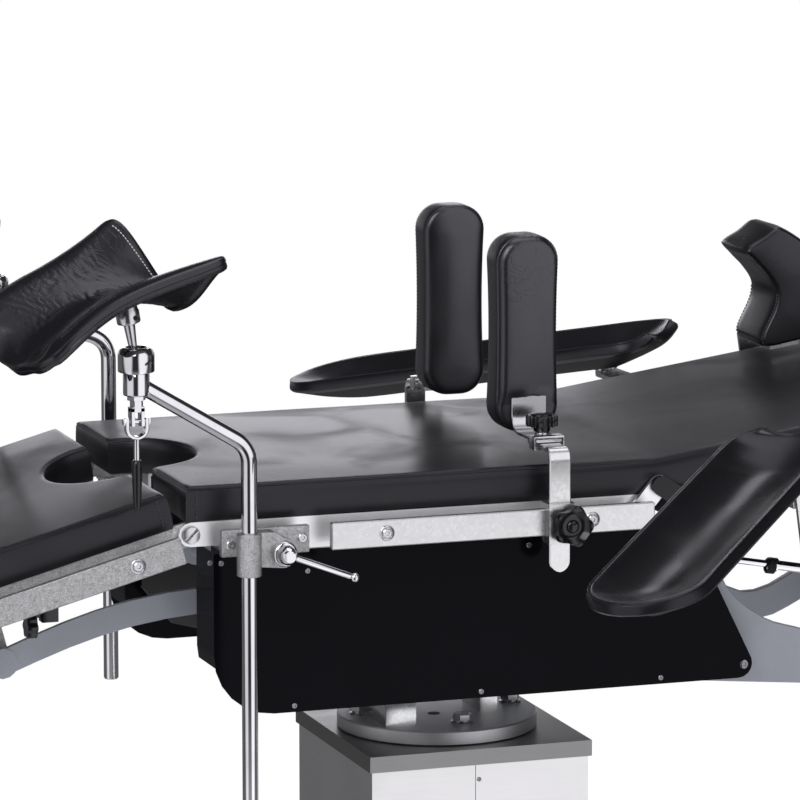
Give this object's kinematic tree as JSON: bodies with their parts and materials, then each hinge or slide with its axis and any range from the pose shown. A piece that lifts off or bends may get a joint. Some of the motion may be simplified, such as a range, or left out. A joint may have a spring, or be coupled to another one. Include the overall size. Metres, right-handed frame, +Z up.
{
  "type": "hydraulic operating table",
  "caption": "Hydraulic operating table with jointed padded sections on a telescopic column, knee crutches, body supports, arm rests and shoulder rests.",
  "frame": {"origin": "on the floor under the axis of the lift ram", "axes": "+X towards the head end, -Y the side with the rest pose's raised arm, +Z up"},
  "size_m": [2.0058, 1.6492, 1.115],
  "materials": {
    "black_vinyl": "satin grained upholstery vinyl",
    "black_panel": "gloss black",
    "black_plastic": "moulded, semi-gloss",
    "brushed_steel": "brushed stainless sheet",
    "rail_steel": "galvanised, lightly mottled",
    "chrome": "polished",
    "grey_paint": "satin bluish grey",
    "cast_grey": "machined and lacquered"
  },
  "bodies": {
    "base": {"base_casting": "cast_grey", "base_cover": "brushed_steel", "column_shell_left": "brushed_steel", "column_shell_right": "brushed_steel", "lift_cylinder": "cast_grey"},
    "pedal": {"pump_pedal": "rail_steel"},
    "lift": {"lift_ram": "chrome", "column_cap": "brushed_steel", "top_flange": "cast_grey"},
    "cross": {"tilt_cross": "cast_grey"},
    "frame": {"main_frame": "grey_paint", "side_cover_near": "black_panel", "side_cover_far": "black_panel", "seat_tray": "brushed_steel", "seat_pad": "black_vinyl", "seat_rail_near": "rail_steel", "seat_rail_far": "rail_steel", "control_box": "grey_paint", "crutch_clamp_near": "rail_steel", "crutch_clamp_far": "rail_steel"},
    "crank": {"crank_handle": "chrome"},
    "leg_section": {"leg_tray": "rail_steel", "leg_pad": "black_vinyl", "leg_rail_near": "rail_steel", "leg_rail_far": "rail_steel"},
    "leg_link": {"leg_link": "grey_paint"},
    "back_section": {"back_tray": "brushed_steel", "back_pad": "black_vinyl", "back_rail_near": "rail_steel", "back_rail_far": "rail_steel"},
    "strut_tube": {"back_strut_tube": "chrome"},
    "strut_rod": {"back_strut_rod": "chrome"},
    "head_section": {"head_tray": "brushed_steel", "head_pad": "black_vinyl"},
    "clamp_lever_near": {"crutch_clamp_lever_near": "chrome"},
    "crutch_near": {"crutch_post_near": "chrome"},
    "ball_lever_near": {"crutch_ball_lever_near": "chrome"},
    "gutter_near": {"crutch_gutter_near": "black_vinyl"},
    "support_clamp_near": {"support_clamp_near": "rail_steel"},
    "support_knob_near": {"support_knob_near": "black_plastic"},
    "support_bar_near": {"support_bar_near": "rail_steel"},
    "support_pad_near": {"support_bracket_near": "rail_steel", "support_pad_near": "black_vinyl"},
    "arm_bar_near": {"arm_rest_bar_near": "rail_steel"},
    "arm_pad_near": {"arm_rest_pad_near": "black_vinyl"},
    "shoulder_near": {"shoulder_bracket_near": "rail_steel", "shoulder_rest_near": "black_vinyl"},
    "clamp_lever_far": {"crutch_clamp_lever_far": "chrome"},
    "crutch_far": {"crutch_post_far": "chrome"},
    "ball_lever_far": {"crutch_ball_lever_far": "chrome"},
    "gutter_far": {"crutch_gutter_far": "black_vinyl"},
    "support_clamp_far": {"support_clamp_far": "rail_steel"},
    "support_knob_far": {"support_knob_far": "black_plastic"},
    "support_bar_far": {"support_bar_far": "rail_steel"},
    "support_pad_far": {"support_bracket_far": "rail_steel", "support_pad_far": "black_vinyl"},
    "arm_bar_far": {"arm_rest_bar_far": "rail_steel"},
    "arm_pad_far": {"arm_rest_pad_far": "black_vinyl"},
    "shoulder_far": {"shoulder_bracket_far": "rail_steel", "shoulder_rest_far": "black_vinyl"}
  },
  "joints": [
    {"name": "lift_slide", "type": "slide", "parent": "base", "child": "lift", "axis": [0, 0, 1], "range_m": [0, 0.22]},
    {"name": "pedal_pivot", "type": "hinge", "parent": "base", "child": "pedal", "pos_m": [0.11, -0.1565, 0.056], "axis": [1, 0, 0], "range_deg": [0, 8], "stiffness_Nm_per_rad": 25, "springref_deg": -4.58},
    {"name": "side_tilt", "type": "hinge", "parent": "lift", "child": "cross", "pos_m": [0, 0, 0.4993], "axis": [1, 0, 0], "range_deg": [-15, 15]},
    {"name": "end_tilt", "type": "hinge", "parent": "cross", "child": "frame", "pos_m": [0, 0, 0.4993], "axis": [0, -1, 0], "range_deg": [-20, 20]},
    {"name": "crank_spin", "type": "hinge", "parent": "frame", "child": "crank", "pos_m": [0.745, 0, 0.47555], "axis": [1, 0, 0], "continuous": true},
    {"name": "leg_hinge", "type": "hinge", "parent": "frame", "child": "leg_section", "pos_m": [-0.393, 0, 0.69], "axis": [0, -1, 0], "range_deg": [-15, 75]},
    {"name": "leg_link_pivot", "type": "hinge", "parent": "leg_section", "child": "leg_link", "pos_m": [-0.60003, 0, 0.52996], "axis": [0, -1, 0], "range_deg": [-61, 13]},
    {"name": "back_hinge", "type": "hinge", "parent": "frame", "child": "back_section", "pos_m": [0.2, 0, 0.715], "axis": [0, -1, 0], "range_deg": [-14, 62]},
    {"name": "strut_pivot", "type": "hinge", "parent": "frame", "child": "strut_tube", "pos_m": [0.6, -0.0062, 0.52603], "axis": [0, -1, 0], "range_deg": [-4, 1]},
    {"name": "strut_slide", "type": "slide", "parent": "strut_tube", "child": "strut_rod", "axis": [-0.9832, 0, 0.1827], "range_m": [-0.113, 0.027]},
    {"name": "head_hinge", "type": "hinge", "parent": "back_section", "child": "head_section", "pos_m": [0.83377, 0, 0.80407], "axis": [0, -1, 0], "range_deg": [-35, 30]},
    {"name": "clamp_lever_near_turn", "type": "hinge", "parent": "frame", "child": "clamp_lever_near", "pos_m": [-0.294, -0.2923, 0.671], "axis": [0, -1, 0], "range_deg": [-60, 40]},
    {"name": "crutch_near_height", "type": "slide", "parent": "frame", "child": "crutch_near", "axis": [0, 0, 1], "range_m": [-0.04, 0.1]},
    {"name": "ball_lever_near_swing", "type": "hinge", "parent": "crutch_near", "child": "ball_lever_near", "pos_m": [-0.47521, -0.297, 0.84039], "axis": [-1, 0, 0], "range_deg": [0, 80]},
    {"name": "gutter_near_tilt", "type": "hinge", "parent": "crutch_near", "child": "gutter_near", "pos_m": [-0.47521, -0.297, 0.90522], "axis": [0, -1, 0], "range_deg": [-25, 10]},
    {"name": "support_near_along", "type": "slide", "parent": "frame", "child": "support_clamp_near", "axis": [1, 0, 0], "range_m": [-0.12, 0.015]},
    {"name": "support_knob_near_spin", "type": "hinge", "parent": "support_clamp_near", "child": "support_knob_near", "pos_m": [0.066, -0.2849, 0.6825], "axis": [0, -1, 0], "continuous": true},
    {"name": "support_near_height", "type": "slide", "parent": "support_clamp_near", "child": "support_bar_near", "axis": [0, 0, 1], "range_m": [-0.012, 0.035]},
    {"name": "support_near_across", "type": "slide", "parent": "support_bar_near", "child": "support_pad_near", "axis": [0, 1, 0], "range_m": [-0.03, 0.025]},
    {"name": "arm_near_along", "type": "slide", "parent": "back_section", "child": "arm_bar_near", "axis": [0.9903, 0, 0.1392], "range_m": [-0.03, 0.1]},
    {"name": "arm_near_swivel", "type": "hinge", "parent": "arm_bar_near", "child": "arm_pad_near", "pos_m": [0.26915, -0.43801, 0.73648], "axis": [-0.1392, 0, 0.9903], "range_deg": [-43, 40]},
    {"name": "shoulder_near_along", "type": "slide", "parent": "back_section", "child": "shoulder_near", "axis": [0.9903, 0, 0.1392], "range_m": [-0.02, 0.1]},
    {"name": "clamp_lever_far_turn", "type": "hinge", "parent": "frame", "child": "clamp_lever_far", "pos_m": [-0.294, 0.2923, 0.671], "axis": [0, -1, 0], "range_deg": [-60, 40]},
    {"name": "crutch_far_height", "type": "slide", "parent": "frame", "child": "crutch_far", "axis": [0, 0, 1], "range_m": [-0.04, 0.1]},
    {"name": "ball_lever_far_swing", "type": "hinge", "parent": "crutch_far", "child": "ball_lever_far", "pos_m": [-0.49067, 0.297, 0.84271], "axis": [1, 0, 0], "range_deg": [0, 80]},
    {"name": "gutter_far_tilt", "type": "hinge", "parent": "crutch_far", "child": "gutter_far", "pos_m": [-0.49067, 0.297, 0.90754], "axis": [0, -1, 0], "range_deg": [-24, 0]},
    {"name": "support_far_along", "type": "slide", "parent": "frame", "child": "support_clamp_far", "axis": [1, 0, 0], "range_m": [-0.12, 0.015]},
    {"name": "support_knob_far_spin", "type": "hinge", "parent": "support_clamp_far", "child": "support_knob_far", "pos_m": [0.072, 0.2849, 0.6825], "axis": [0, 1, 0], "continuous": true},
    {"name": "support_far_height", "type": "slide", "parent": "support_clamp_far", "child": "support_bar_far", "axis": [0, 0, 1], "range_m": [-0.012, 0.035]},
    {"name": "support_far_across", "type": "slide", "parent": "support_bar_far", "child": "support_pad_far", "axis": [0, -1, 0], "range_m": [-0.03, 0.025]},
    {"name": "arm_far_along", "type": "slide", "parent": "back_section", "child": "arm_bar_far", "axis": [0.9903, 0, 0.1392], "range_m": [-0.05, 0.08]},
    {"name": "arm_far_swivel", "type": "hinge", "parent": "arm_bar_far", "child": "arm_pad_far", "pos_m": [0.39954, 0.45121, 0.73562], "axis": [0.1392, 0, -0.9903], "range_deg": [-43, 40]},
    {"name": "shoulder_far_along", "type": "slide", "parent": "back_section", "child": "shoulder_far", "axis": [0.9903, 0, 0.1392], "range_m": [-0.02, 0.1]}
  ],
  "couplings": [
    {"joint": "leg_link_pivot", "follows": "leg_hinge", "ratio": -0.8},
    {"joint": "strut_pivot", "follows": "back_hinge", "ratio": -0.06},
    {"joint": "strut_slide", "follows": "back_hinge", "m_per_rad": -0.103}
  ]
}
